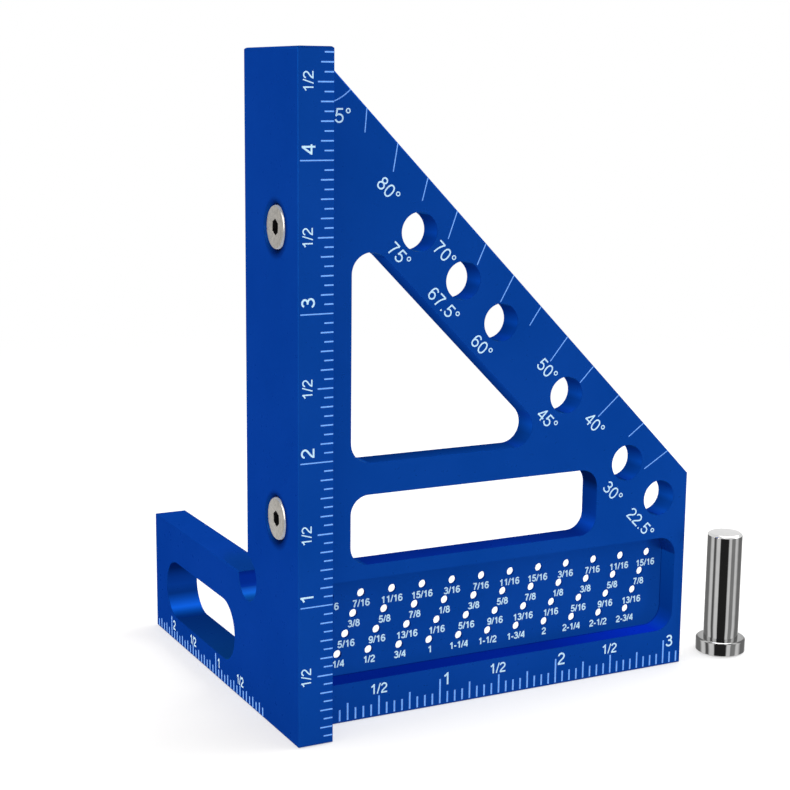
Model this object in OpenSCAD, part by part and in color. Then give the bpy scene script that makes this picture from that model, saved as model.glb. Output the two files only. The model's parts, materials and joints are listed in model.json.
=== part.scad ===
// Multi-angle marking square.
// An L-shaped fence plate carries a triangular blade on its inner face, held by two
// countersunk screws. A loose headed pin fits the six angle bores of the blade.
// The origin is the corner that all three scales start from: X runs along the blade
// from the fence plate's inner face, Y runs back from the plate's front edge, and Z
// runs up from the base.

/* [Fence plate] */
// Height of the upright arm
fence_h = 120; // [114:1:135]
// Thickness of the plate
fence_t = 6.6; // [6:0.1:9]
// Width of the upright arm, front to back
arm_w = 23.4; // [18:0.1:28]
// Length of the foot, front to back
foot_l = 75; // [72:1:100]
// Height of the foot
foot_h = 24.6; // [23:0.2:32]
// Radius of the round relief in the inner corner of the L
relief_r = 4.4; // [2:0.1:5]
// Radius of the corners of the L, seen from the side, and of its top edges
fence_corner_r = 0.6; // [0.5:0.1:2]
// Radius that breaks the other edges of the plate
fence_edge_r = 0.3; // [0.2:0.1:1]

/* [Foot slot] */
// Length of the slot through the foot
foot_slot_l = 38.2; // [30:0.2:44]
// Height of the slot through the foot
foot_slot_h = 12; // [10:0.2:14]
// Solid left below the slot
foot_slot_sill = 5.1; // [3:0.1:6]
// Solid left between the slot and the free end of the foot
foot_slot_end_wall = 6.8; // [4:0.1:8]

/* [Blade] */
// Height of the blade's free end; the long edge rises from there at 45 degrees
blade_nose_h = 39.2; // [32:0.2:40.6]
// Thickness of the blade
blade_t = 5; // [4.8:0.1:7]
// Distance from the fence plate's front edge back to the blade's front face
blade_setback = 7.5; // [5:0.1:9]
// Drop from the top of the fence plate to the blade's upper tip
blade_tip_drop = 0.3; // [0.2:0.1:2]
// Radius that breaks the blade's outer edges
blade_edge_r = 0.4; // [0.2:0.1:0.8]

/* [Windows and pocket] */
// Solid strip between the fence plate and the two windows
window_rail = 6.8; // [6.7:0.1:9]
// Height of the band below the pocket, which carries the lower scale
scale_band_h = 7.4; // [6:0.1:9]
// Height of the pocket for the pencil holes
pocket_h = 19.2; // [18:0.1:21]
// Web between the pocket and the oblong window
lower_web = 2.6; // [2:0.1:4]
// Height of the oblong window
oblong_h = 12.9; // [10:0.1:14]
// Length of the oblong window
oblong_l = 52.3; // [40:0.1:54]
// Web between the oblong window and the triangular window
upper_web = 5.8; // [4:0.1:8]
// Width of the sloping band between the triangular window and the long edge
slope_band_w = 15.7; // [14:0.1:18]
// Corner radius of the triangular window
triangle_r = 3.8; // [2:0.1:5]
// Corner radius of the oblong window
oblong_r = 3.5; // [2:0.1:5]
// Corner radius of the pocket
pocket_r = 3.8; // [2:0.1:5]
// Thickness of the web left at the bottom of the pocket
pocket_floor_t = 0.6; // [0.5:0.1:1.5]
// Solid left between the pocket and the blade's free end
pocket_end_wall = 2.4; // [2:0.1:4]

/* [Pencil holes] */
// Step between one pencil hole and the next, a sixteenth of an inch
hole_step = 1.5875; // [1.5:0.0125:1.6]
// Diameter of a pencil hole
pencil_hole_d = 1.6; // [0.8:0.1:2]
// Height of the lowest row above the pocket's lower edge
hole_row_start = 4.1; // [3:0.1:4.6]
// Rise from one row to the next
hole_row_rise = 3.7; // [3:0.05:4]
// Space kept between the last hole's centre and the pocket's end
hole_end_space = 3; // [2:0.1:5]

/* [Angle bores and pin] */
// Distance from the blade's long edge to the line of the angle bores
bore_edge_space = 7.9; // [7:0.1:9]
// Height, at the fence plate's inner face, of the point the angles are measured from
pivot_h = 0.5; // [0:0.1:2]
// Diameter of the pin's shank
pin_d = 7; // [6:0.1:7.5]
// Clearance between the shank and an angle bore, on the diameter
pin_clearance = 0.06; // [0.02:0.01:0.08]
// Length of the pin's shank below the head
pin_shank_l = 22; // [15:0.5:30]
// Diameter of the pin's head
pin_head_d = 10; // [9:0.1:12]
// Height of the pin's head
pin_head_h = 3; // [2:0.1:6]
// Chamfer at the free end of the shank
pin_tip_chamfer = 0.4; // [0.2:0.1:1]
// Chamfer on both rims of the head
pin_head_chamfer = 0.3; // [0.1:0.05:0.6]
// Gap between the blade's free end and the head of the pin where it stands
pin_stand_gap = 7; // [3:0.5:12]

/* [Screws] */
// Diameter of the screw thread
screw_d = 4; // [3:0.1:4]
// Overall length of a screw
screw_l = 12; // [10.5:0.1:12.2]
// Diameter of the countersunk head
screw_head_d = 7.9; // [7.5:0.1:9]
// Straight rim of the head, below its bevel
screw_head_land = 0.15; // [0.05:0.05:0.4]
// Bevel around the face of the head and at the screw's tip
screw_bevel = 0.35; // [0.2:0.05:0.5]
// Bevel around the mouth of the socket
socket_bevel = 0.15; // [0.05:0.05:0.3]
// Width across flats of the hexagon socket
socket_af = 2.5; // [2:0.1:3]
// Depth of the hexagon socket
socket_depth = 1.6; // [1:0.1:1.9]
// Depth of the head's face below the plate's outer face
screw_recess = 0.1; // [0.05:0.05:0.4]
// Clearance around the screw in the plate, on the diameter
screw_hole_clearance = 0.4; // [0.2:0.1:0.8]
// Clearance around the screw in the blade, on the diameter
tap_clearance = 0.1; // [0.04:0.02:0.2]
// Depth of the tapped hole beyond the screw's tip
tap_runout = 0.3; // [0.2:0.1:0.6]
// Distance from the top of the fence plate to the upper screw
upper_screw_drop = 30; // [25:0.5:34]
// Height of the lower screw above the base
lower_screw_h = 39; // [33:0.5:42]

/* [Hidden] */
$fn = 96;
over = fence_t;
bore_angles = [75, 67.5, 60, 45, 30, 22.5];
hole_rows = 4;
hex_sides = 6;

blade_tip_h = fence_h - blade_tip_drop;
blade_l = blade_tip_h - blade_nose_h;
blade_mid_y = blade_setback + blade_t / 2;
oblong_z = scale_band_h + pocket_h + lower_web;
triangle_z = oblong_z + oblong_h + upper_web;
triangle_reach = blade_tip_h - slope_band_w * sqrt(2);
pocket_end_x = blade_l - pocket_end_wall;
pocket_depth = blade_t - pocket_floor_t;
hole_count = floor((pocket_end_x - hole_end_space) / hole_step);
pin_r = pin_d / 2;
bore_d = pin_d + pin_clearance;
bore_line = blade_tip_h - bore_edge_space * sqrt(2);
pin_x = blade_l + pin_stand_gap + pin_head_d / 2;
screw_heights = [fence_h - upper_screw_drop, lower_screw_h];
screw_face_x = screw_recess - fence_t;
head_rim_h = screw_bevel + screw_head_land;
socket_d = socket_af / cos(180 / hex_sides);
long_edge_angle = 45;

anodised_blue = [0.04, 0.24, 0.58];
screw_steel = [0.78, 0.77, 0.76];
polished_steel = [0.85, 0.85, 0.86];

// Place of an angle bore: the pin's shank touches the line at the given angle from
// the pivot, and the centre lies on the line of bores along the blade's long edge.
function bore_x(angle) =
    ((bore_line - pivot_h) * cos(angle) - pin_r) / (cos(angle) + sin(angle));
function bore_place(angle) = [bore_x(angle), bore_line - bore_x(angle)];

// Unit vector from one point to another
function toward(from, to) = (to - from) / norm(to - from);

// Half of the corner's angle at a point between its two neighbours
function half_corner(before, at, after) =
    acos(toward(at, before) * toward(at, after)) / 2;

// The two points where a corner's arc meets the outline, or the corner itself
function corner_points(before, at, after, r) =
    r == 0 ? [at] :
    let (reach = r / tan(half_corner(before, at, after)))
    [at + reach * toward(at, before), at + reach * toward(at, after)];

// Centre of a corner's arc
function corner_centre(before, at, after, r) =
    let (middle = toward([0, 0], toward(at, before) + toward(at, after)))
    at + middle * r / sin(half_corner(before, at, after));

// Convex outline whose corners are true arcs, each of its own radius
module rounded_outline(points, radii) {
    last = len(points) - 1;
    before = [for (i = [0 : last]) points[i == 0 ? last : i - 1]];
    after = [for (i = [0 : last]) points[i == last ? 0 : i + 1]];
    polygon([for (i = [0 : last])
        each corner_points(before[i], points[i], after[i], radii[i])]);
    for (i = [0 : last])
        if (radii[i] > 0)
            translate(corner_centre(before[i], points[i], after[i], radii[i]))
                circle(r = radii[i]);
}

// Rectangle with its lower left corner at a point and all corners rounded alike
module rounded_box(corner, size, r) {
    rounded_outline([
        corner,
        corner + [size[0], 0],
        corner + size,
        corner + [0, size[1]]
    ], [r, r, r, r]);
}

// Solid seen along X: the outline's axes become Y and Z
module along_x(from, length) {
    translate([from, 0, 0])
        rotate([90, 0, 90])
            linear_extrude(length) children();
}

// Solid seen along Y from the front: the outline's axes become X and Z
module along_y(from, length) {
    translate([0, from + length, 0])
        rotate([90, 0, 0])
            linear_extrude(length) children();
}

// Side outline of the fence plate, with rounded corners on the L
module fence_outline() {
    rounded_box([0, 0], [arm_w, fence_h], fence_corner_r);
    rounded_box([0, 0], [foot_l, foot_h], fence_corner_r);
}

// Slot through the foot, with round ends
module foot_slot() {
    slot_r = foot_slot_h / 2;
    rear_y = foot_l - foot_slot_end_wall - slot_r;
    front_y = rear_y - foot_slot_l + foot_slot_h;
    translate([front_y, foot_slot_sill])
        square([rear_y - front_y, foot_slot_h]);
    for (end_y = [front_y, rear_y])
        translate([end_y, foot_slot_sill + slot_r])
            circle(r = slot_r);
}

// Upright arm with its rear edges broken; its front is trimmed by fence_bounds
module arm_bar() {
    translate([0, 0, -over])
        linear_extrude(fence_h + 2 * over)
            rounded_box([-fence_t, -over], [fence_t, arm_w + over], fence_edge_r);
}

// Foot with its upper edges broken; its underside is trimmed by fence_bounds
module foot_bar() {
    along_y(-over, foot_l + 2 * over)
        rounded_box([-fence_t, -over], [fence_t, foot_h + over], fence_edge_r);
}

// Box around the plate whose upright edges, base and top edges are broken
module fence_bounds() {
    intersection() {
        linear_extrude(fence_h)
            rounded_box([-fence_t, 0], [fence_t, foot_l], fence_edge_r);
        along_y(0, foot_l)
            rounded_outline([
                [-fence_t, 0],
                [0, 0],
                [0, fence_h],
                [-fence_t, fence_h]
            ], [fence_edge_r, fence_edge_r, fence_corner_r, fence_corner_r]);
    }
}

// Countersink and clearance hole in the plate, from the outer face inward
module screw_seat() {
    mouth_r = screw_head_d / 2 + screw_recess + head_rim_h;
    hole_r = (screw_d + screw_hole_clearance) / 2;
    translate([-fence_t, 0, 0]) rotate([0, 90, 0]) {
        translate([0, 0, -over])
            cylinder(h = over + mouth_r - hole_r, r1 = mouth_r + over, r2 = hole_r);
        cylinder(h = fence_t + over, r = hole_r);
    }
}

module fence_plate() {
    color(anodised_blue) difference() {
        intersection() {
            union() {
                arm_bar();
                foot_bar();
            }
            along_x(-fence_t, fence_t) fence_outline();
            fence_bounds();
        }
        along_x(-fence_t - over, fence_t + 2 * over) {
            translate([arm_w, foot_h]) circle(r = relief_r);
            foot_slot();
        }
        for (height = screw_heights)
            translate([0, blade_mid_y, height]) screw_seat();
    }
}

// Wide slab of the blade's thickness, with its outer edge broken: the outer face
// lies at the given distance from the drawing origin, square to the given angle
module edged_slab(angle, distance) {
    depth = 2 * blade_tip_h;
    translate([0, blade_setback, 0])
        rotate([0, -angle, 0])
            translate([distance - depth, 0, -depth])
                linear_extrude(2 * depth)
                    rounded_box([0, 0], [depth, blade_t], blade_edge_r);
}

// Outline of the blade seen from the front
module blade_outline() {
    polygon([
        [0, 0],
        [blade_l, 0],
        [blade_l, blade_nose_h],
        [0, blade_tip_h]
    ]);
}

// Blade stock with its base, its free end and its long edge broken
module blade_stock() {
    intersection() {
        along_y(blade_setback, blade_t) blade_outline();
        edged_slab(0, blade_l);
        edged_slab(-90, 0);
        edged_slab(long_edge_angle, blade_tip_h * cos(long_edge_angle));
    }
}

module triangular_window() {
    rounded_outline([
        [window_rail, triangle_z],
        [triangle_reach - triangle_z, triangle_z],
        [window_rail, triangle_reach - window_rail]
    ], [triangle_r, triangle_r, triangle_r]);
}

module oblong_window() {
    rounded_box([window_rail, oblong_z], [oblong_l, oblong_h], oblong_r);
}

// Pocket in the front face, open toward the fence plate
module pocket_outline() {
    rounded_outline([
        [-over, scale_band_h],
        [pocket_end_x, scale_band_h],
        [pocket_end_x, scale_band_h + pocket_h],
        [-over, scale_band_h + pocket_h]
    ], [0, pocket_r, pocket_r, 0]);
}

// Pencil holes, one a step, which climb through the rows and start again
module pencil_holes() {
    for (n = [1 : hole_count])
        translate([n * hole_step,
            scale_band_h + hole_row_start + (n % hole_rows) * hole_row_rise])
            circle(d = pencil_hole_d);
}

module angle_bores() {
    for (angle = bore_angles)
        translate(bore_place(angle)) circle(d = bore_d);
}

module blade() {
    tap_depth = screw_face_x + screw_l + tap_runout;
    color(anodised_blue) difference() {
        blade_stock();
        along_y(blade_setback - over, blade_t + 2 * over) {
            triangular_window();
            oblong_window();
            angle_bores();
            pencil_holes();
        }
        along_y(blade_setback - over, pocket_depth + over) pocket_outline();
        for (height = screw_heights)
            translate([-over, blade_mid_y, height])
                rotate([0, 90, 0])
                    cylinder(h = over + tap_depth, d = screw_d + tap_clearance);
    }
}

// Countersunk screw along X, its head's face at the drawing origin
module screw() {
    head_r = screw_head_d / 2;
    shank_r = screw_d / 2;
    rotate([0, 90, 0]) difference() {
        rotate_extrude()
            polygon([
                [0, 0],
                [head_r - screw_bevel, 0],
                [head_r, screw_bevel],
                [head_r, head_rim_h],
                [shank_r, head_rim_h + head_r - shank_r],
                [shank_r, screw_l - screw_bevel],
                [shank_r - screw_bevel, screw_l],
                [0, screw_l]
            ]);
        rotate(180 / hex_sides)
            translate([0, 0, -over])
                cylinder(h = over + socket_depth, d = socket_d, $fn = hex_sides);
        cylinder(h = socket_d / 2 + socket_bevel,
            r1 = socket_d / 2 + socket_bevel, r2 = 0);
    }
}

module upper_screw() {
    color(screw_steel)
        translate([screw_face_x, blade_mid_y, screw_heights[0]]) screw();
}

module lower_screw() {
    color(screw_steel)
        translate([screw_face_x, blade_mid_y, screw_heights[1]]) screw();
}

// Headed pin, standing on its head beside the blade's free end
module angle_pin() {
    head_r = pin_head_d / 2;
    pin_l = pin_head_h + pin_shank_l;
    color(polished_steel)
        translate([pin_x, blade_mid_y, 0])
            rotate_extrude()
                polygon([
                    [0, 0],
                    [head_r - pin_head_chamfer, 0],
                    [head_r, pin_head_chamfer],
                    [head_r, pin_head_h - pin_head_chamfer],
                    [head_r - pin_head_chamfer, pin_head_h],
                    [pin_r, pin_head_h],
                    [pin_r, pin_l - pin_tip_chamfer],
                    [pin_r - pin_tip_chamfer, pin_l],
                    [0, pin_l]
                ]);
}

fence_plate();
blade();
upper_screw();
lower_screw();
angle_pin();
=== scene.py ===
import functools
import json
import math

import bmesh
import bpy
from mathutils import Matrix, Vector
from mathutils.geometry import delaunay_2d_cdt


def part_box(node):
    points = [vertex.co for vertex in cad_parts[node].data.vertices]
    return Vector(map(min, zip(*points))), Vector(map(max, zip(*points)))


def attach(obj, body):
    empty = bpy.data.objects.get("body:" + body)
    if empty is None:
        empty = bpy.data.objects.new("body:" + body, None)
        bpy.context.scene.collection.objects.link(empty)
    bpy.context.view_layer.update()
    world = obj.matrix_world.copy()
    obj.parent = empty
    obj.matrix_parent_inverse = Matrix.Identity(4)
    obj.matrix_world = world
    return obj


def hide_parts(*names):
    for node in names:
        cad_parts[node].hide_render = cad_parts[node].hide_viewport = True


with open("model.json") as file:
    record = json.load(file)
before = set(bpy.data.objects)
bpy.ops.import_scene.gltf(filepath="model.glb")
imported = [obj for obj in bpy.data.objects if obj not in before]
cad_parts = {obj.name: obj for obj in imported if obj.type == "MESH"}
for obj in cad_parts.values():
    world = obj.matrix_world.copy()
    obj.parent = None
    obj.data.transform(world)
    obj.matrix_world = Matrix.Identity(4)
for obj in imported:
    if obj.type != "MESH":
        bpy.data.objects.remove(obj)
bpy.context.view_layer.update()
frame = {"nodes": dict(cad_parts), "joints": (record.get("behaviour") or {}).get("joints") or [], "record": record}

MM = 0.001
X, Y, Z = 0, 1, 2
SQUARE, PIN = "square", "pin"
PLATE_SLOT, BLADE_SLOT = "anodised_plate", "anodised_blade"
SCREW_SLOT, PIN_SLOT = "screw_steel", "polished_pin"


def span(node, axis):
    """Where a solid begins and ends along an axis, in millimetres."""
    low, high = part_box(node)
    return round(low[axis] / MM, 2), round(high[axis] / MM, 2)


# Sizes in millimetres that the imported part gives
FENCE_T = -span("fence_plate", X)[0]
FOOT_L = span("fence_plate", Y)[1]
BLADE_L = span("blade", X)[1]
BLADE_Y, BLADE_BACK = span("blade", Y)
BLADE_T = BLADE_BACK - BLADE_Y
BLADE_MID = (BLADE_Y + BLADE_BACK) / 2
TIP_H = span("blade", Z)[1]
SCREW_Z = {name: sum(span(name, Z)) / 2 for name in ("upper_screw", "lower_screw")}
SCREW_FACE_X, SCREW_END_X = span("upper_screw", X)
SCREW_L = SCREW_END_X - SCREW_FACE_X
SCREW_HEAD_R = span("upper_screw", Y)[1] - BLADE_MID
PIN_X = sum(span("angle_pin", X)) / 2
PIN_HEAD_R = span("angle_pin", X)[1] - PIN_X
PIN_L = span("angle_pin", Z)[1]
PIN_LIFT = frame["joints"][0]["range_m"][1] / MM
BORE_MOUNTS = [m for m in frame["record"]["mounts"] if m["kind"] == "bore"]
BORE_R = BORE_MOUNTS[0]["dims"]["r_mm"]
BORES = [(m["pos_m"][X] / MM, m["pos_m"][Z] / MM) for m in BORE_MOUNTS]

# Sizes inside the solids, the same as in the part's source
EDGE_R = 0.3
ARM_W, FOOT_H, RELIEF_R = 23.4, 24.6, 4.4
SLOT_L, SLOT_H, SLOT_SILL, SLOT_END_WALL = 38.2, 12.0, 5.1, 6.8
RAIL, SCALE_BAND_H, LOWER_WEB, UPPER_WEB, SLOPE_BAND_W = 6.8, 7.4, 2.6, 5.8, 15.7
POCKET_H, POCKET_D, POCKET_R, POCKET_END_WALL = 19.2, 4.4, 3.8, 2.4
OBLONG_L, OBLONG_H, OBLONG_R, TRIANGLE_R = 52.3, 12.9, 3.5, 3.8
OBLONG_Z = SCALE_BAND_H + POCKET_H + LOWER_WEB
TRIANGLE_Z = OBLONG_Z + OBLONG_H + UPPER_WEB
PIN_R, PIN_HEAD_H, PIN_HEAD_CHAMFER, PIN_TIP_CHAMFER = 3.5, 3.0, 0.3, 0.4
SCREW_R, SCREW_BEVEL, SCREW_LAND = 2.0, 0.35, 0.15
SOCKET_R, SOCKET_DEPTH = 1.25, 1.6

# Places of the markings
TICK = 25.4 / 16
BLADE_TICKS, ARM_TICKS, FOOT_TICKS = 50, 75, 37
FOOT_ZERO_Y = 14.75
TIP_ARC_R = 9.2
HOLE_ROWS, HOLE_ROW_Z, HOLE_ROW_RISE, HOLES = 4, 11.5, 3.7, 47


# Materials
def add_node(tree, kind, *values, operation=None, **inputs):
    """A new shader node. Its inputs, by place or by name, take a value or a link."""
    n = tree.nodes.new("ShaderNode" + kind)
    if operation:
        n.operation = operation
    sockets = list(zip(n.inputs, values))
    sockets += [(n.inputs[key.replace("_", " ")], value) for key, value in inputs.items()]
    for socket, value in sockets:
        if isinstance(value, bpy.types.NodeSocket):
            tree.links.new(value, socket)
        else:
            socket.default_value = value
    return n


def noise(tree, coord, scale, detail=2.0, rough=0.5):
    """A cloudy value between 0 and 1 that keeps its place on the object."""
    n = add_node(tree, "TexNoise", Vector=coord, Scale=scale, Detail=detail, Roughness=rough)
    return n.outputs["Fac"]


def map_range(tree, value, low, high, start=0.3, end=0.7, smooth=False):
    """Turns a value between start and end into one between low and high."""
    n = add_node(tree, "MapRange", Value=value, From_Min=start, From_Max=end,
                 To_Min=low, To_Max=high)
    if smooth:
        n.interpolation_type = "SMOOTHSTEP"
    return n.outputs["Result"]


def two_tone(tree, value, first, second, start=0.35, end=0.65):
    """A colour that goes from the first tone to the second with a value."""
    n = add_node(tree, "ValToRGB", Fac=value)
    for stop, place, tone in zip(n.color_ramp.elements, (start, end), (first, second)):
        stop.position = place
        stop.color = (*tone, 1.0)
    return n.outputs["Color"]


def dark_ring(tree, coord, colour, centre, depth=0.85, inner=4.0, outer=5.5):
    """A colour with painted shade, soft and dark round a point, up to an outer radius."""
    centre = tuple(c * MM for c in centre)
    reach = add_node(tree, "VectorMath", coord, centre, operation="DISTANCE")
    share = map_range(tree, reach.outputs["Value"], depth, 0.0, inner * MM, outer * MM)
    # the near-black blue of the painted shade
    mix = add_node(tree, "MixRGB", Fac=share, Color1=colour, Color2=(0.0005, 0.006, 0.05, 1))
    return mix.outputs["Color"]


def surface(name, tones, cloud, gloss, grain, relief, patch=None, rings=(), **inputs):
    """A material with a clouded tone, uneven gloss and a fine grain. cloud, patch and grain
    are noises, each by scale, detail and roughness, and without a patch the gloss follows
    the cloud. relief is the strength and the height of the grain's bump. A soft ring of
    painted shade lies round each point of rings."""
    m = bpy.data.materials.new(name)
    m.use_nodes = True
    tree = m.node_tree
    tree.nodes.clear()
    coord = add_node(tree, "TexCoord").outputs["Object"]
    clouding = noise(tree, coord, *cloud)
    patches = noise(tree, coord, *patch) if patch else clouding
    colour = two_tone(tree, clouding, *tones)
    for centre in rings:
        colour = dark_ring(tree, coord, colour, centre)
    strength, height = relief
    bump = add_node(tree, "Bump", Height=noise(tree, coord, *grain), Strength=strength,
                    Distance=height)
    s = add_node(tree, "BsdfPrincipled", Base_Color=colour, Normal=bump.outputs["Normal"],
                 Roughness=map_range(tree, patches, *gloss), **inputs)
    add_node(tree, "OutputMaterial", Surface=s.outputs["BSDF"])
    return m


def anodised(name, seed, rings=()):
    """Blue anodised aluminium: a fine blasted grain, faint clouding, tinted reflections, painted shade at rings.
    """
    return surface(
        name, tones=((0.0024, 0.0455, 0.282), (0.0034, 0.0505, 0.306)),
        cloud=(38.0 + seed, 3.0, 0.55), patch=(700.0, 3.0, 0.6), gloss=(0.27, 0.33),
        grain=(5200.0, 2.0, 0.55), relief=(0.12, 0.00002), rings=rings,
        Metallic=0.4, Specular_IOR_Level=0.0, Specular_Tint=(0.0, 0.30, 0.45, 1.0))


def marking(name, seed, thin_tone, full_tone):
    """Engraved marking, a little uneven where it lies thinner."""
    return surface(
        name, tones=(thin_tone, full_tone), cloud=(1500.0 + seed, 3.0, 0.6),
        gloss=(0.75, 0.55), grain=(9000.0, 2.0), relief=(0.15, 0.00001),
        Metallic=0.0, Specular_IOR_Level=0.25)


def screw_steel(name):
    """Bright steel, a little cloudy, with a fine grain."""
    return surface(
        name, tones=((0.25, 0.24, 0.222), (0.355, 0.34, 0.315)), cloud=(1400.0, 3.0, 0.6),
        gloss=(0.26, 0.38), grain=(7000.0, 2.0), relief=(0.25, 0.00002), Metallic=1.0)


def rim_steel(name):
    """The polished bevels of the screws, with a faint blue tint that is a painted reflection."""
    return surface(
        name, tones=((0.27, 0.29, 0.34), (0.35, 0.375, 0.43)), cloud=(2600.0, 2.0, 0.5),
        gloss=(0.16, 0.24), grain=(7000.0, 2.0), relief=(0.08, 0.00001), Metallic=1.0)


def socket_black(name):
    """Painted shade inside a socket: nearly black, as a deep hole looks."""
    return surface(
        name, tones=((0.0015, 0.0015, 0.002), (0.006, 0.006, 0.007)),
        cloud=(2500.0, 3.0, 0.6), gloss=(0.6, 0.9), grain=(7000.0, 2.0),
        relief=(0.25, 0.00002), Metallic=0.0, Specular_IOR_Level=0.1)


def chrome(name):
    """Polished steel that is very slightly uneven."""
    return surface(
        name, tones=((0.64, 0.64, 0.64), (0.69, 0.69, 0.685)), cloud=(420.0, 3.0, 0.55),
        gloss=(0.035, 0.07), grain=(3500.0, 2.0), relief=(0.02, 0.000005), Metallic=1.0)


# The painted shade round each screw lies a little low and forward of the screw's axis, like a shadow
SCREW_SHADE_CENTRES = [(-FENCE_T, BLADE_MID - 0.45, z - 0.15) for z in SCREW_Z.values()]
PLATE_BLUE = anodised("plate_blue", 0.0, SCREW_SHADE_CENTRES)
BLADE_BLUE = anodised("blade_blue", 4.0)
FIGURE_MARK = marking("figure_mark", 0.0, (0.48, 0.73, 0.97), (0.61, 0.86, 1.0))
LINE_MARK = marking("line_mark", 300.0, (0.14, 0.38, 0.96), (0.20, 0.45, 1.0))
STEEL = screw_steel("screw_steel")
RIM_PAINTED_BLUE = rim_steel("screw_rim_painted_blue")
SOCKET_SHADE = socket_black("screw_socket_shade")
CHROME = chrome("pin_chrome")


# Meshes
def solid(name, verts, faces, materials, slots=()):
    """A mesh from points in millimetres, with its faces turned outward."""
    mesh = bpy.data.meshes.new(name)
    mesh.from_pydata([Vector(v) * MM for v in verts], [], faces)
    for m in materials:
        mesh.materials.append(m)
    for face, slot in zip(mesh.polygons, slots):
        face.material_index = slot
    bm = bmesh.new()
    bm.from_mesh(mesh)
    bmesh.ops.recalc_face_normals(bm, faces=bm.faces)
    bm.to_mesh(mesh)
    bm.free()
    return mesh


def smooth_by_angle(mesh, degrees):
    """Smooth shading, apart from the edges that turn by more than some degrees."""
    for face in mesh.polygons:
        face.use_smooth = True
    bm = bmesh.new()
    bm.from_mesh(mesh)
    for e in bm.edges:
        if len(e.link_faces) == 2:
            e.smooth = e.calc_face_angle(0.0) < math.radians(degrees)
    bm.to_mesh(mesh)
    bm.free()


def add_object(name, mesh):
    o = bpy.data.objects.new(name, mesh)
    bpy.context.scene.collection.objects.link(o)
    return o


def add_piece(name, mesh, body):
    """A visible piece that moves with a body of the part."""
    o = add_object(name, mesh)
    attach(o, body)
    return o


# Plates
def dress_plate(node, material, width):
    """A plate keeps its solid and gets fine broken edges over it."""
    mesh = frame["nodes"][node].data.copy()
    mesh.name = node + "_dressed"
    bm = bmesh.new()
    bm.from_mesh(mesh)
    bmesh.ops.remove_doubles(bm, verts=bm.verts, dist=1e-7)
    bmesh.ops.dissolve_limit(
        bm, angle_limit=math.radians(0.2), verts=bm.verts, edges=bm.edges,
        delimit={"NORMAL"})
    bm.normal_update()
    bm.to_mesh(mesh)
    bm.free()
    mesh.materials.clear()
    mesh.materials.append(material)
    for face in mesh.polygons:
        face.use_smooth = True
    o = add_piece(node + "_body", mesh, SQUARE)
    edges = o.modifiers.new("edges", "BEVEL")
    edges.width = width * MM
    edges.segments = 2
    edges.limit_method = "ANGLE"
    edges.angle_limit = math.radians(40)
    even = o.modifiers.new("even_faces", "WEIGHTED_NORMAL")
    even.weight = 100
    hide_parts(node)


dress_plate("fence_plate", PLATE_BLUE, width=0.12)
dress_plate("blade", BLADE_BLUE, width=0.15)


# Turned pieces
class Turned:
    """A closed skin of rings round an axis. place puts a point of a ring in the part."""

    def __init__(self, sides, place):
        self.sides, self.place = sides, place
        self.verts, self.faces, self.slots, self.last = [], [], [], []

    def add(self, radius, height, slot=0):
        """The next ring, or the axis itself for a radius of 0, joined to the one before by
        faces with the material slot. A radius may be a function of the angle."""
        start = len(self.verts)
        count = 1 if radius == 0 else self.sides
        for i in range(count):
            angle = 2 * math.pi * i / self.sides
            r = radius(angle) if callable(radius) else radius
            self.verts.append(self.place(r * math.cos(angle), r * math.sin(angle), height))
        ring = range(start, start + count)
        last = self.last
        for i in range(self.sides if last else 0):
            j = (i + 1) % self.sides
            corners = (last[i % len(last)], last[j % len(last)], ring[j % count],
                       ring[i % count])
            self.faces.append(list(dict.fromkeys(corners)))
            self.slots.append(slot)
        self.last = ring

    def build(self, name, body, slot, materials, sharp):
        """The piece. Its edges stay sharp where they turn by more than sharp degrees."""
        mesh = solid(name, self.verts, self.faces, materials, self.slots)
        smooth_by_angle(mesh, sharp)
        return add_piece(name, mesh, body)


def softened(points, cuts, steps=3):
    """An outline whose corners are replaced by small curves. cuts says, by a corner's
    number, how far from the corner its curve begins and ends."""
    out = []
    for i, p in enumerate(points):
        if i not in cuts:
            out.append(p)
            continue
        before, at, after = Vector(points[i - 1]), Vector(p), Vector(points[i + 1])
        s = at + (before - at).normalized() * cuts[i]
        e = at + (after - at).normalized() * cuts[i]
        for k in range(steps + 1):
            f = k / steps
            out.append(tuple(s * (1 - f) ** 2 + at * 2 * f * (1 - f) + e * f ** 2))
    return out


def build_pin():
    """Headed pin that stands on its head, with softened edges."""
    rim, neck = PIN_HEAD_R - PIN_HEAD_CHAMFER, PIN_HEAD_H - PIN_HEAD_CHAMFER
    outline = [
        (0, 0), (rim, 0), (PIN_HEAD_R, PIN_HEAD_CHAMFER), (PIN_HEAD_R, neck),
        (rim, PIN_HEAD_H), (PIN_R, PIN_HEAD_H), (PIN_R, PIN_L - PIN_TIP_CHAMFER),
        (PIN_R - PIN_TIP_CHAMFER, PIN_L), (0, PIN_L)]
    cuts = {1: 0.08, 2: 0.08, 3: 0.08, 4: 0.08, 6: 0.1, 7: 0.08}
    skin = Turned(160, lambda a, b, h: (PIN_X + a, BLADE_MID + b, h))
    for radius, height in softened(outline, cuts):
        skin.add(radius, height)
    o = skin.build("angle_pin_turned", PIN, PIN_SLOT, [CHROME], sharp=35)
    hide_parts("angle_pin")


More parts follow.
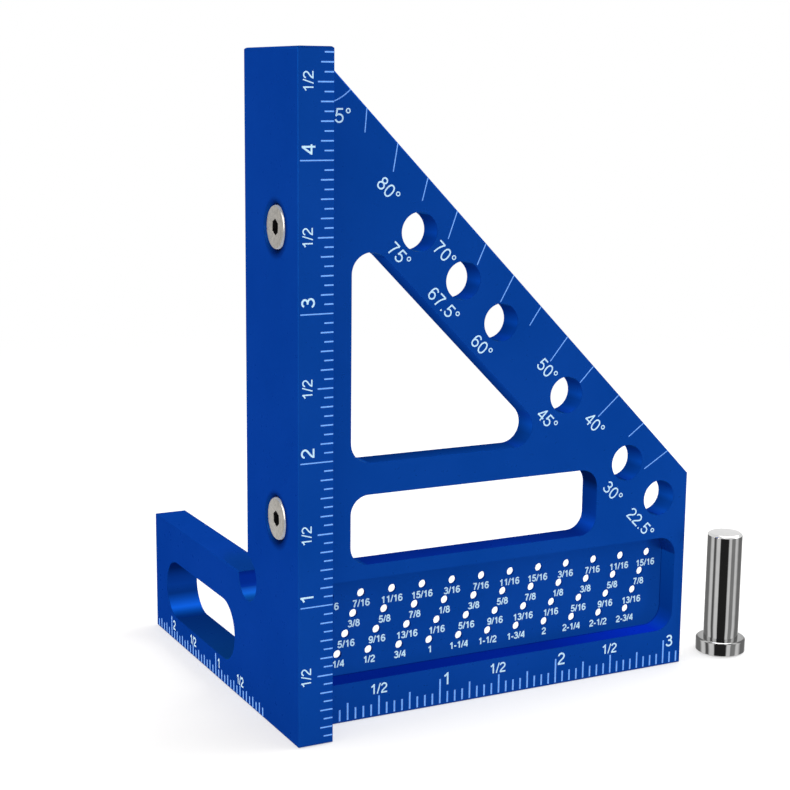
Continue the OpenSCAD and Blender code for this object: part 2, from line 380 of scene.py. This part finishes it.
def build_screw(node, turn):
    """Countersunk socket screw: bevelled head, cut socket and a real thread. turn is the
    angle of its socket in degrees."""
    steel, rim, socket = range(3)
    pitch, thread_depth, thread_steps = 0.7, 0.342, 90
    major_r, tip_r = SCREW_R - 0.02, 1.5
    head_h, bevel_r = SCREW_BEVEL + SCREW_LAND, SCREW_HEAD_R - SCREW_BEVEL
    thread_start = head_h + SCREW_HEAD_R - SCREW_R
    thread_end = SCREW_L - SCREW_BEVEL
    sixth = math.pi / 3

    def hexagon(apothem, grow=0.0):
        def radius(angle):
            off = (angle - math.radians(turn) + sixth / 2) % sixth - sixth / 2
            return apothem / math.cos(off) + grow
        return radius

    def thread(height, fade):
        def radius(angle):
            share = (height / pitch - angle / (2 * math.pi)) % 1.0
            return major_r - thread_depth * fade * (1 - abs(2 * share - 1))
        return radius

    middle_z = SCREW_Z[node]
    skin = Turned(96, lambda a, b, h: (SCREW_FACE_X + h, BLADE_MID + a, middle_z + b))
    # From the socket's floor out over the head's face and bevel, then along the thread
    skin.add(0, SOCKET_DEPTH)
    # The socket's floor and walls take the painted shade
    skin.add(hexagon(SOCKET_R - 0.02), SOCKET_DEPTH - 0.05, socket)
    skin.add(hexagon(SOCKET_R), 0.1, socket)
    skin.add(hexagon(SOCKET_R, 0.05), 0.0, steel)
    skin.add(bevel_r, 0.0, steel)
    skin.add(bevel_r + 0.06, 0.02, rim)
    skin.add(SCREW_HEAD_R - 0.04, SCREW_BEVEL - 0.05, rim)
    skin.add(SCREW_HEAD_R, SCREW_BEVEL + 0.01, rim)
    skin.add(SCREW_HEAD_R, head_h, steel)
    skin.add(SCREW_R, thread_start, steel)
    for k in range(1, thread_steps + 1):
        height = thread_start + (thread_end - thread_start) * k / thread_steps
        fade = min(1.0, k / 10, (thread_steps + 1 - k) / 8)
        skin.add(thread(height, fade), height, steel)
    skin.add(tip_r, SCREW_L, steel)
    skin.add(0, SCREW_L, steel)
    o = skin.build(node + "_turned", SQUARE, SCREW_SLOT, [STEEL, RIM_PAINTED_BLUE, SOCKET_SHADE], sharp=30)
    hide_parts(node)


build_pin()
build_screw("upper_screw", turn=4)
build_screw("lower_screw", turn=-5)


# Numerals
def arc(cx, cy, rx, ry, a0, a1, n=14, power=2.0):
    """Points of an oval from one angle to another. A higher power makes it squarer."""
    out = []
    for i in range(n + 1):
        a = math.radians(a0 + (a1 - a0) * i / n)
        c, s = math.cos(a), math.sin(a)
        e = 2.0 / power
        out.append((cx + rx * math.copysign(abs(c) ** e, c),
                    cy + ry * math.copysign(abs(s) ** e, s)))
    return out


def bezier(p0, p1, p2, p3, n=10):
    """Points of a curve from p0 to p3 that p1 and p2 pull at."""
    out = []
    for i in range(n + 1):
        t = i / n
        u = 1 - t
        out.append(tuple(
            u ** 3 * a + 3 * u * u * t * b + 3 * u * t * t * c + t ** 3 * d
            for a, b, c, d in zip(p0, p1, p2, p3)))
    return out


# Each character has its advance and its strokes, in shares of its height, and whether
# a stroke is closed. The letter d stands for the degree ring.
SIX = [
    (arc(0.392, 0.318, 0.258, 0.262, 0, 360, 28), True),
    (arc(0.405, 0.735, 0.235, 0.205, 20, 90, 7)
     + bezier((0.405, 0.94), (0.215, 0.94), (0.128, 0.75), (0.134, 0.40), 10)[1:], False),
]
GLYPHS = {
    "0": (0.777, [(arc(0.384, 0.5, 0.266, 0.445, 0, 360, 34, 2.3), True)]),
    "1": (0.777, [([(0.468, 0.0), (0.468, 1.0)], False),
                  (bezier((0.455, 0.93), (0.40, 0.85), (0.29, 0.76), (0.175, 0.72), 6),
                   False)]),
    "2": (0.777, [(arc(0.375, 0.70, 0.262, 0.242, 172, 0, 16)
                   + bezier((0.637, 0.70), (0.637, 0.47), (0.20, 0.36),
                            (0.125, 0.075), 10)[1:], False),
                  ([(0.055, 0.058), (0.70, 0.058)], False)]),
    "3": (0.777, [(arc(0.365, 0.74, 0.232, 0.203, 163, -90, 18), False),
                  (arc(0.365, 0.298, 0.282, 0.24, 90, -163, 18), False),
                  ([(0.285, 0.537), (0.37, 0.537)], False)]),
    "4": (0.777, [([(0.545, 0.0), (0.545, 1.0)], False),
                  ([(0.535, 0.955), (0.085, 0.285)], False),
                  ([(0.03, 0.285), (0.70, 0.285)], False)]),
    "5": (0.777, [([(0.665, 0.94), (0.235, 0.94), (0.15, 0.455)], False),
                  (arc(0.372, 0.325, 0.278, 0.266, 148, -165, 20), False)]),
    "6": (0.777, SIX),
    "7": (0.777, [([(0.068, 0.94), (0.655, 0.94)], False),
                  (bezier((0.655, 0.93), (0.47, 0.74), (0.31, 0.38), (0.285, 0.0), 9),
                   False)]),
    "8": (0.777, [(arc(0.385, 0.748, 0.205, 0.193, 0, 360, 24), True),
                  (arc(0.385, 0.298, 0.263, 0.24, 0, 360, 28), True)]),
    "9": (0.777, [([(0.777 - x, 1 - y) for x, y in p], c) for p, c in SIX]),
    "/": (0.388, [([(0.035, -0.01), (0.353, 1.01)], False)]),
    "-": (0.465, [([(0.05, 0.36), (0.415, 0.36)], False)]),
    ".": (0.388, [([(0.19, 0.0), (0.19, 0.13)], False)]),
    "d": (0.559, [(arc(0.275, 0.825, 0.14, 0.14, 0, 360, 22), True)]),
}
THINNER = {"d": 0.72, "/": 0.85}
LEAST_MITRE = 0.45


def strip(path, closed, half):
    """The quads of a stroke of even width along a path."""
    pts = [Vector(p) for p in (path[:-1] if closed else path)]
    n = len(pts)
    left, right = [], []
    for i, p in enumerate(pts):
        before = pts[i - 1] if (closed or i > 0) else None
        after = pts[(i + 1) % n] if (closed or i < n - 1) else None
        dirs = []
        if before is not None:
            dirs.append((p - before).normalized())
        if after is not None:
            dirs.append((after - p).normalized())
        d = sum(dirs, Vector((0, 0)))
        d.normalize()
        side = Vector((-d.y, d.x))
        reach = half / max(LEAST_MITRE, side.dot(Vector((-dirs[0].y, dirs[0].x))))
        left.append(p + side * reach)
        right.append(p - side * reach)
    quads = []
    for i in range(n if closed else n - 1):
        j = (i + 1) % n
        quads.append([left[i], right[i], right[j], left[j]])
    return quads


def united(quads):
    """One flat mesh that covers the quads once: points, triangles and outer edges."""
    verts, faces = [], []
    for q in quads:
        area = sum(q[i].x * q[(i + 1) % 4].y - q[(i + 1) % 4].x * q[i].y
                   for i in range(4))
        if abs(area) < 1e-9:
            continue
        if area < 0:
            q = q[::-1]
        faces.append(list(range(len(verts), len(verts) + 4)))
        verts += [Vector((p.x, p.y)) for p in q]
    vs, _, fs, _, _, owners = delaunay_2d_cdt(verts, [], faces, 2, 1e-6, True)
    keep = [f for f, o in zip(fs, owners) if o]
    sides = {(a, b) for f in keep for a, b in zip(f, f[1:] + f[:1])}
    rim = [(a, b) for a, b in sorted(sides) if (b, a) not in sides]
    return [(v.x, v.y) for v in vs], keep, rim


@functools.cache
def glyph(character, half):
    """The flat mesh of a character of height 1, with strokes twice as wide as half."""
    half *= THINNER.get(character, 1.0)
    strokes = GLYPHS[character][1]
    return united([q for path, closed in strokes for q in strip(path, closed, half)])


class Marks:
    """Thin raised marks on one flat face, gathered in one mesh. They stand proud of the
    face and reach a little below it. face puts a point of the drawing in the part."""

    PROUD, SUNK = 0.012, 0.02

    def __init__(self, name, face, slot, material):
        self.name, self.face, self.slot, self.material = name, face, slot, material
        self.verts, self.faces = [], []

    def add(self, points, faces, rim):
        """Takes in a flat mesh as a thin closed body."""
        a = len(self.verts)
        n = len(points)
        for proud in (self.PROUD, -self.SUNK):
            self.verts += [self.face(u, v, proud) for u, v in points]
        for f in faces:
            self.faces.append([a + i for i in f])
            self.faces.append([a + n + i for i in reversed(f)])
        for i, j in rim:
            self.faces.append([a + j, a + i, a + n + i, a + n + j])

    def curve(self, path, width):
        self.add(*united(strip(path, False, width / 2)))

    def bar(self, start, end, width):
        self.curve([start, end], width)

    def text(self, words, centre, height, weight, angle=0):
        """Figures centred on a point by their ink, turned by an angle in degrees. weight
        is half the width of their strokes, as a share of their height."""
        placed, ink, advance = [], [], 0.0
        for character in words:
            points, faces, rim = glyph(character, weight)
            points = [(x + advance, y) for x, y in points]
            placed.append((points, faces, rim))
            ink += [x for x, y in points]
            advance += GLYPHS[character][0]
        middle = Vector(((min(ink) + max(ink)) / 2, 0.5))
        turn = Matrix.Rotation(math.radians(angle), 2)
        for points, faces, rim in placed:
            out = [Vector(centre) + turn @ (Vector(p) - middle) * height for p in points]
            self.add(out, faces, rim)

    def build(self):
        mesh = solid(self.name, self.verts, self.faces, [self.material])
        add_piece(self.name, mesh, SQUARE)


# Each of these puts a point of a drawing in the part, so far proud of its face
def on_blade(u, v, proud):
    return (u, BLADE_Y - proud, v)


def on_pocket(u, v, proud):
    return (u, BLADE_Y + POCKET_D - proud, v)


def on_arm(u, v, proud):
    return (u, -proud, v)


def on_side(u, v, proud):
    return (-FENCE_T - proud, -u, v)


def longest(lengths, n):
    """The length that belongs to the largest key that divides n."""
    return lengths[max(key for key in lengths if n % key == 0)]


def build_blade_scale():
    """The scale along the blade's lower edge, in sixteenths of an inch."""
    lengths = {1: 2.6, 4: 3.7, 8: 4.1, 16: 5.2}
    lines = Marks("blade_scale", on_blade, BLADE_SLOT, LINE_MARK)
    for n in range(1, BLADE_TICKS + 1):
        lines.bar((n * TICK, 0.45), (n * TICK, longest(lengths, n)), width=0.335)
    lines.build()
    figures = Marks("blade_scale_figures", on_blade, BLADE_SLOT, FIGURE_MARK)
    for n, x in ((8, 0.02), (24, -0.20), (40, -0.21)):
        figures.text("1/2", (n * TICK + x, 5.47), height=1.9, weight=0.074)
    for n, x, z, digit in ((16, 1.31, 5.1, "1"), (32, 1.29, 5.1, "2"), (48, 1.42, 4.95, "3")):
        figures.text(digit, (n * TICK + x, z), height=2.35, weight=0.072)
    figures.build()


def build_arm_scale():
    """The scale up the arm's front edge. The inch lines go right across it."""
    lengths = {1: 1.85, 2: 2.5, 8: 3.05, 16: FENCE_T - 0.35}
    widths = {1: 0.245, 16: 0.21}
    lines = Marks("arm_scale", on_arm, PLATE_SLOT, LINE_MARK)
    for n in range(1, ARM_TICKS + 1):
        start, end = (-longest(lengths, n), n * TICK), (-EDGE_R + 0.12, n * TICK)
        lines.bar(start, end, width=longest(widths, n))
    lines.build()
    figures = Marks("arm_scale_figures", on_arm, PLATE_SLOT, FIGURE_MARK)
    for n, x in ((8, -5.2), (24, -5.1), (40, -4.96), (56, -4.9), (72, -4.78)):
        figures.text("1/2", (x, n * TICK + 0.1), height=1.85, weight=0.061, angle=90)
    for n, x, z, digit in ((16, -5.05, 1.5, "1"), (32, -4.9, 1.73, "2"),
                           (48, -4.82, 1.93, "3"), (64, -4.73, 1.79, "4")):
        figures.text(digit, (x, n * TICK + z), height=2.45, weight=0.066, angle=90)
    figures.build()


def build_foot_scale():
    """The scale along the foot, on the plate's outer face."""
    lengths = {1: 1.85, 2: 2.3, 16: 4.7}
    lines = Marks("foot_scale", on_side, PLATE_SLOT, LINE_MARK)
    for n in range(1, FOOT_TICKS + 1):
        u = -(FOOT_ZERO_Y + n * TICK)
        lines.bar((u, EDGE_R), (u, longest(lengths, n)), width=0.43)
    lines.build()
    figures = Marks("foot_scale_figures", on_side, PLATE_SLOT, FIGURE_MARK)
    for n in (8, 24):
        centre = (0.1 - FOOT_ZERO_Y - n * TICK, 3.36)
        figures.text("1/2", centre, height=1.85, weight=0.078)
    for n, digit in ((16, "1"), (32, "2")):
        centre = (1.57 - FOOT_ZERO_Y - n * TICK, 3.2)
        figures.text(digit, centre, height=1.95, weight=0.078)
    figures.build()


def build_angle_marks():
    """A mark every 5 degrees along the sloping edge, each in its own direction, an arc
    round the blade's tip, and the angles of the marks and of the bores."""
    edge, first_x, step_x = 119.45, 9.5, 5.985
    lines = Marks("angle_marks", on_blade, BLADE_SLOT, LINE_MARK)
    for k, degrees in enumerate(range(85, 25, -5)):
        x = first_x + step_x * k
        length = 4.9 + 0.026 * (80 - degrees) if degrees % 10 == 0 else 4.1
        inward = Vector((math.cos(math.radians(degrees)), math.sin(math.radians(degrees))))
        start = Vector((x, edge - x))
        lines.bar(start, start - inward * length, width=0.19)
    lines.curve(arc(0, TIP_H, TIP_ARC_R, TIP_ARC_R, -89.5, -45.8, 16), width=0.18)
    lines.build()
    figures = Marks("angle_figures", on_blade, BLADE_SLOT, FIGURE_MARK)
    for words, x, z in (("80d", 13.74, 96.08), ("70d", 25.03, 84.57), ("50d", 47.12, 62.14),
                        ("40d", 58.05, 50.94), ("75d", 15.99, 84.66), ("67.5d", 24.98, 75.43),
                        ("60d", 32.97, 67.37), ("45d", 47.41, 52.69), ("30d", 62.76, 37.13),
                        ("22.5d", 69.55, 30.2)):
        figures.text(words, (x, z), height=2.4, weight=0.057, angle=-45)
    figures.text("45d", (3.95, 108.71), height=2.5, weight=0.057)
    figures.build()


def hole_distance(n):
    """What stands by a pencil hole: its sixteenths, and whole inches in the lowest row."""
    whole, part = divmod(n, 16)
    shared = math.gcd(part, 16)
    words = "%d/%d" % (part // shared, 16 // shared) if part else ""
    if whole and n % HOLE_ROWS == 0:
        words = "%d-%s" % (whole, words) if words else str(whole)
    return words


def build_hole_figures():
    """The distances below the pencil holes, on the pocket's floor."""
    figures = Marks("pencil_hole_figures", on_pocket, BLADE_SLOT, FIGURE_MARK)
    # The figures drift a little against the holes from row to row and to the right
    for n in range(1, HOLES + 1):
        row = n % HOLE_ROWS
        x = n * (TICK - 0.0095) + 0.22 - 0.04 * row
        z = HOLE_ROW_Z + row * (HOLE_ROW_RISE - 0.03) - 1.80 - 0.004 * n
        figures.text(hole_distance(n), (x, z), height=1.3, weight=0.1)
    figures.build()


build_blade_scale()
build_arm_scale()
build_foot_scale()
build_angle_marks()
build_hole_figures()


# Studio
def build_floor():
    """A pale floor that keeps the shadow near the object and turns white further out."""
    bm = bmesh.new()
    bmesh.ops.create_grid(bm, x_segments=8, y_segments=8, size=6.0)
    mesh = bpy.data.meshes.new("floor")
    bm.to_mesh(mesh)
    bm.free()
    o = add_object("floor", mesh)
    o.location = (0.04, 0.03, -0.00002)
    m = bpy.data.materials.new("floor_white")
    m.use_nodes = True
    tree = m.node_tree
    tree.nodes.clear()
    coord = add_node(tree, "TexCoord").outputs["Object"]
    reach = add_node(tree, "VectorMath", coord, operation="LENGTH").outputs["Value"]
    fade = map_range(tree, reach, 0.5, 1.0, 0.15, 0.45, smooth=True)
    pale = add_node(tree, "BsdfDiffuse", Color=(0.96, 0.96, 0.96, 1)).outputs["BSDF"]
    glow = add_node(tree, "Emission", Strength=1.0).outputs["Emission"]
    mix = add_node(tree, "MixShader", fade, pale, glow)
    add_node(tree, "OutputMaterial", Surface=mix.outputs["Shader"])
    mesh.materials.append(m)


def build_world():
    """A soft white world, plain white where it is seen directly or in a reflection."""
    world = bpy.data.worlds.new("studio")
    bpy.context.scene.world = world
    world.use_nodes = True
    tree = world.node_tree
    tree.nodes.clear()
    rays = add_node(tree, "LightPath").outputs
    seen = rays["Is Camera Ray"]
    for ray in ("Is Glossy Ray", "Is Transmission Ray"):
        seen = add_node(tree, "Math", seen, rays[ray], operation="MAXIMUM").outputs[0]
    soft, white = (
        add_node(tree, "Background", Color=(1, 1, 1, 1), Strength=strength).outputs[0]
        for strength in (0.64, 1.0))
    mix = add_node(tree, "MixShader", seen, soft, white)
    add_node(tree, "OutputWorld", Surface=mix.outputs["Shader"])


def softbox(name, place, target, size, watts, tint=(1.0, 1.0, 1.0)):
    """An area lamp. Its place, its target and its size are in metres."""
    light = bpy.data.lights.new(name, "AREA")
    light.color = tint
    light.shape = "RECTANGLE"
    light.size, light.size_y = size
    light.energy = watts
    o = add_object(name, light)
    o.location = place
    o.rotation_mode = "QUATERNION"
    o.rotation_quaternion = (Vector(place) - Vector(target)).to_track_quat("Z", "Y")


def reflector(name, verts, faces, tones, soft=False):
    """A card of given tones that only reflections show, or soft light as well."""
    m = bpy.data.materials.new(name + "_tone")
    m.use_nodes = True
    tree = m.node_tree
    tree.nodes.clear()
    stored = add_node(tree, "Attribute")
    stored.attribute_name = "tone"
    glow = add_node(tree, "Emission", Color=stored.outputs["Color"], Strength=1.0)
    add_node(tree, "OutputMaterial", Surface=glow.outputs["Emission"])
    mesh = solid(name, verts, faces, [m])
    layer = mesh.color_attributes.new("tone", "FLOAT_COLOR", "POINT")
    for item, tone in zip(layer.data, tones):
        item.color = (*tone, 1.0)
    o = add_object(name, mesh)
    o.visible_camera = False
    o.visible_diffuse = soft
    o.visible_shadow = soft
    o.visible_transmission = False


def flag(name, low, high):
    """A small dark card across a box without depth, for the reflection in an edge."""
    dark = (0.02, 0.02, 0.02)
    (x0, y0, z0), (x1, y1, z1) = low, high
    verts = [(x0, y0, z0), (x1, y0, z0), (x1, y1, z1), (x0, y1, z1)]
    reflector(name, verts, [(0, 1, 2, 3)], [dark] * 4)


def lining(name, stations, ends, place, tints, fade=1.0, gap=0.05):
    """A card close along a wall, which gives the wall its painted light and shade. Each
    station is a point on the wall by centre, radius and angle, with a tone. The tints hold
    at the first and the last station, and fade is the share of a tone that is left at the
    wall's far end."""
    last, step_degrees = len(stations) - 1, 8
    path = []
    for i, (p, q) in enumerate(zip(stations, stations[1:])):
        parts = max(1, round(abs(q[3] - p[3]) / step_degrees))
        for k in range(parts):
            path.append(((i + k / parts) / last, Vector(p).lerp(Vector(q), k / parts)))
    path.append((1.0, Vector(stations[-1])))
    verts, tones = [], []
    for share, (a, b, r, angle, tone) in path:
        u = a + (r - gap) * math.cos(math.radians(angle))
        v = b + (r - gap) * math.sin(math.radians(angle))
        light = Vector(tints[0]).lerp(Vector(tints[1]), share) * tone
        verts += [place(u, v, end) for end in ends]
        tones += [light, light * fade]
    faces = [(k, k + 2, k + 3, k + 1) for k in range(0, len(verts) - 2, 2)]
    reflector(name, verts, faces, tones, soft=True)


def bend(centre, r, *bands):
    """The stations of a wall's light card round a centre. Each band is an angle and a painted tone."""
    return [(*centre, r, angle, tone) for angle, tone in bands]


# Both put a point of a wall's outline in the part, at a depth across the plate
def across_blade(u, v, depth):
    return (u, BLADE_Y + depth, v)


def across_plate(u, v, depth):
    return (depth, u, v)


BLADE_ENDS = (0.15, BLADE_T - 0.15)
POCKET_ENDS = (0.15, POCKET_D - 0.03)
PLATE_ENDS = (0.08 - FENCE_T, -0.08)


def line_pocket():
    """Painted light and shade on the pocket's walls, and one more card that gives the floor
    back the light that they take."""
    low, right, r = SCALE_BAND_H, BLADE_L - POCKET_END_WALL, POCKET_R
    start, corner, top = (0.4, low), (right - r, low + r), (right, low + POCKET_H - r)
    white = (1.0, 1.0, 1.0)
    lift = bend(start, 0, (-90, 0.95)) + bend(corner, r, (-90, 0.85), (0, 0.85))
    lift += bend(top, 0, (0, 0.75))
    lining("pocket_lift_light", lift, POCKET_ENDS, across_blade, (white, white), gap=0.12)
    wall = bend(start, 0, (-90, 0.75)) + bend((50.0, low), 0, (-90, 1.05))
    wall += bend((right - r, low), 0, (-90, 1.9))
    lining("pocket_low_wall_light", wall, POCKET_ENDS, across_blade,
           ((0.4, 0.5, 1.0), (0.3, 0.38, 1.0)))
    wall = bend(corner, r, (-90, 1.8), (-60, 1.5), (-30, 0.95), (0, 0.72))
    wall += bend(top, 0, (0, 0.85))
    lining("pocket_right_wall_light", wall, POCKET_ENDS, across_blade,
           ((0.3, 0.4, 1.0), (0.6, 1.0, 1.0)))


def line_bores():
    """Painted light and shade on the right side of each bore's wall."""
    for i, centre in enumerate(BORES):
        wall = bend(centre, BORE_R, (55, 0.58), (30, 0.72), (5, 1.15), (-5, 1.35),
                    (-22, 0.95), (-42, 1.05), (-60, 1.45), (-85, 1.3))
        lining("bore_wall_light_%d" % i, wall, BLADE_ENDS, across_blade,
               ((0.7, 0.95, 1.0), (0.8, 0.95, 1.0)), fade=0.7)


def line_triangle():
    """Painted light and shade on the triangular window's long wall, its right corner and its base."""
    reach, r = TIP_H - SLOPE_BAND_W * math.sqrt(2), TRIANGLE_R
    diagonal = r * (1 + math.sqrt(2))
    wall = bend((RAIL + r, reach - RAIL - diagonal), r, (45, 1.05))
    wall += bend((reach - TRIANGLE_Z - diagonal, TRIANGLE_Z + r), r, (45, 1.05), (20, 1.2),
                 (0, 1.45), (-25, 0.95), (-50, 0.95), (-72, 1.4), (-90, 1.1))
    wall += bend((RAIL + r, TRIANGLE_Z), 0, (-90, 0.92))
    lining("triangle_wall_light", wall, BLADE_ENDS, across_blade,
           ((0.9, 1.0, 1.0), (1.0, 1.05, 1.0)), fade=0.6)


def line_oblong():
    """Painted light and shade on the oblong window's right end and its base."""
    right, base, top, r = RAIL + OBLONG_L, OBLONG_Z, OBLONG_Z + OBLONG_H, OBLONG_R
    wall = bend((right - r, top - r), r, (60, 0.28), (10, 0.26))
    wall += bend((right, 37.4), 0, (0, 0.8)) + bend((right, 34.0), 0, (0, 0.88))
    wall += bend((right - r, base + r), r, (0, 1.0), (-30, 1.65), (-48, 1.2), (-65, 0.85),
                 (-90, 0.8))
    wall += bend((40.0, base), 0, (-90, 1.1)) + bend((RAIL + r, base), 0, (-90, 1.0))
    lining("oblong_wall_light", wall, BLADE_ENDS, across_blade,
           ((0.7, 0.9, 1.0), (0.8, 0.65, 1.0)), fade=0.8)


def line_slot():
    """Painted light and shade in the foot's slot: its floor, and its far end, with a painted highlight low down.
    """
    r = SLOT_H / 2
    far_y = FOOT_L - SLOT_END_WALL - r
    near_y, middle_z = far_y - SLOT_L + SLOT_H, SLOT_SILL + r
    wall = bend((near_y, middle_z), r, (-180, 0.8), (-90, 0.64))
    wall += bend((48.0, SLOT_SILL), 0, (-90, 0.7)) + bend((far_y, SLOT_SILL), 0, (-90, 0.62))
    lining("slot_floor_light", wall, PLATE_ENDS, across_plate,
           ((1.8, 1.8, 1.0), (1.2, 1.2, 1.0)), fade=0.9)
    wall = bend((far_y, middle_z), r, (-90, 0.6), (-76, 0.75), (-65, 1.3), (-52, 2.6),
                (-35, 1.4), (-22, 0.68), (-5, 0.9), (12, 0.75), (35, 0.32), (60, 0.35))
    lining("slot_end_light", wall, PLATE_ENDS, across_plate, ((0.6, 1.05, 1.0), (0.8, 0.75, 1.0)))


def line_relief():
    """Painted light and shade in the relief in the inner corner of the L, with a painted highlight low down."""
    corner = (ARM_W, FOOT_H)
    wall = bend(corner, RELIEF_R, (-1, 0.6), (-12, 0.9), (-30, 0.9), (-40, 1.15))
    lining("relief_upper_light", wall, PLATE_ENDS, across_plate,
           ((0.3, 0.45, 1.0), (0.5, 0.6, 1.0)))
    wall = bend(corner, RELIEF_R, (-40, 1.15), (-48, 1.95), (-58, 2.4), (-66, 1.6),
                (-74, 1.15), (-90, 1.0), (-180, 0.8), (-269, 0.8))
    lining("relief_lower_light", wall, PLATE_ENDS, across_plate,
           ((1.0, 0.9, 1.0), (1.8, 1.7, 1.0)))


def build_pin_card(name, base, foot, far):
    """A bent card round the pin where it stands on base, for the strip lights that its
    chrome shows. The card reaches down to foot and lies far from the pin's axis. Each
    stripe has the share of the pin's width where its middle lies, its width and its tone."""
    stripes = ((0.06, 0.08, 0.19), (0.165, 0.05, 0.74), (0.24, 0.035, 0.10),
               (0.335, 0.075, 0.76), (0.505, 0.22, 0.02), (0.67, 0.055, 0.72),
               (0.755, 0.08, 0.25), (0.84, 0.04, 0.73), (0.94, 0.07, 0.19))
    edge_tone, step = 0.6, 0.02
    toward_camera = math.radians(-38.8)
    marks = [(0.0, edge_tone)]
    for middle, width, tone in stripes:
        marks += [(middle - width / 2, tone), (middle + width / 2, tone)]
    marks.append((1.0, edge_tone))
    shares = []
    for (p, tone), (q, other) in zip(marks, marks[1:]):
        parts = max(1, math.ceil((q - p) / step))
        shares += [(p + (q - p) * i / parts, tone + (other - tone) * i / parts)
                   for i in range(parts)]
    shares.append(marks[-1])
    verts, tones = [], []
    for share, tone in shares:
        phi = math.asin(max(-1.0, min(1.0, 2 * share - 1)))
        low, high = (2 * phi - math.asin(r / far * math.sin(phi)) for r in (PIN_HEAD_R, PIN_R))
        for turn, r, z in ((phi, PIN_HEAD_R + 0.1, foot), (low, far, foot),
                           (high, far, PIN_HEAD_H), (high, far, PIN_L - 0.1)):
            a = toward_camera + turn
            verts.append((PIN_X + r * math.sin(a), BLADE_MID - r * math.cos(a), base + z))
            tones.append((tone, tone, tone))
    faces = [(a, a + 4, a + 5, a + 1) for i in range(len(shares) - 1)
             for a in range(4 * i, 4 * i + 3)]
    reflector(name, verts, faces, tones)


def build_camera():
    """The photograph's camera: its angles in degrees, its place in millimetres and its
    focal length in pixels were fitted to the scale marks."""
    azimuth, elevation, roll = -27.124, 10.615, 0.549
    place = (-116.33, -249.649, 113.941)
    focal_px, frame_px, sensor = 1656.45, 790, 36.0
    cam = bpy.data.cameras.new("camera")
    cam.sensor_width = sensor
    cam.lens = focal_px / frame_px * sensor
    cam.clip_start, cam.clip_end = 0.01, 50.0
    stand = Matrix.Translation(Vector(place) * MM)
    for degrees, axis in ((azimuth, "Z"), (90 - elevation, "X"), (roll, "Z")):
        stand = stand @ Matrix.Rotation(math.radians(degrees), 4, axis)
    o = add_object("camera", cam)
    o.matrix_world = stand
    bpy.context.scene.camera = o


build_floor()
build_world()
build_camera()
AIM = (0.035, 0.02, 0.05)
WARM = (1.0, 0.85, 0.6)
softbox("key", (-0.30, -0.75, 0.75), AIM, size=(0.6, 0.6), watts=0.9)
softbox("left", (-0.85, 0.10, 0.28), AIM, size=(0.6, 0.6), watts=4.6, tint=WARM)
softbox("fill", (0.80, -0.45, 0.45), AIM, size=(0.6, 0.6), watts=0.75)
softbox("top", (0.27, 0.02, 0.60), (0.0, 0.06, 0.015), size=(0.45, 0.9), watts=4.2)
build_pin_card("pin_card", base=0.0, foot=0.03, far=12.0)
build_pin_card("raised_pin_card", base=PIN_LIFT, foot=-1.5, far=9.0)
line_pocket()
line_bores()
line_triangle()
line_oblong()
line_slot()
line_relief()
flag("foot_flag", (-2.0, 47.0, 27.5), (9.0, 47.0, 38.0))
flag("arm_flag", (-12.0, -5.0, 122.5), (10.0, 8.0, 122.5))
bpy.context.scene.view_settings.view_transform = "Standard"

# Bring the scene up to date
bpy.context.view_layer.update()
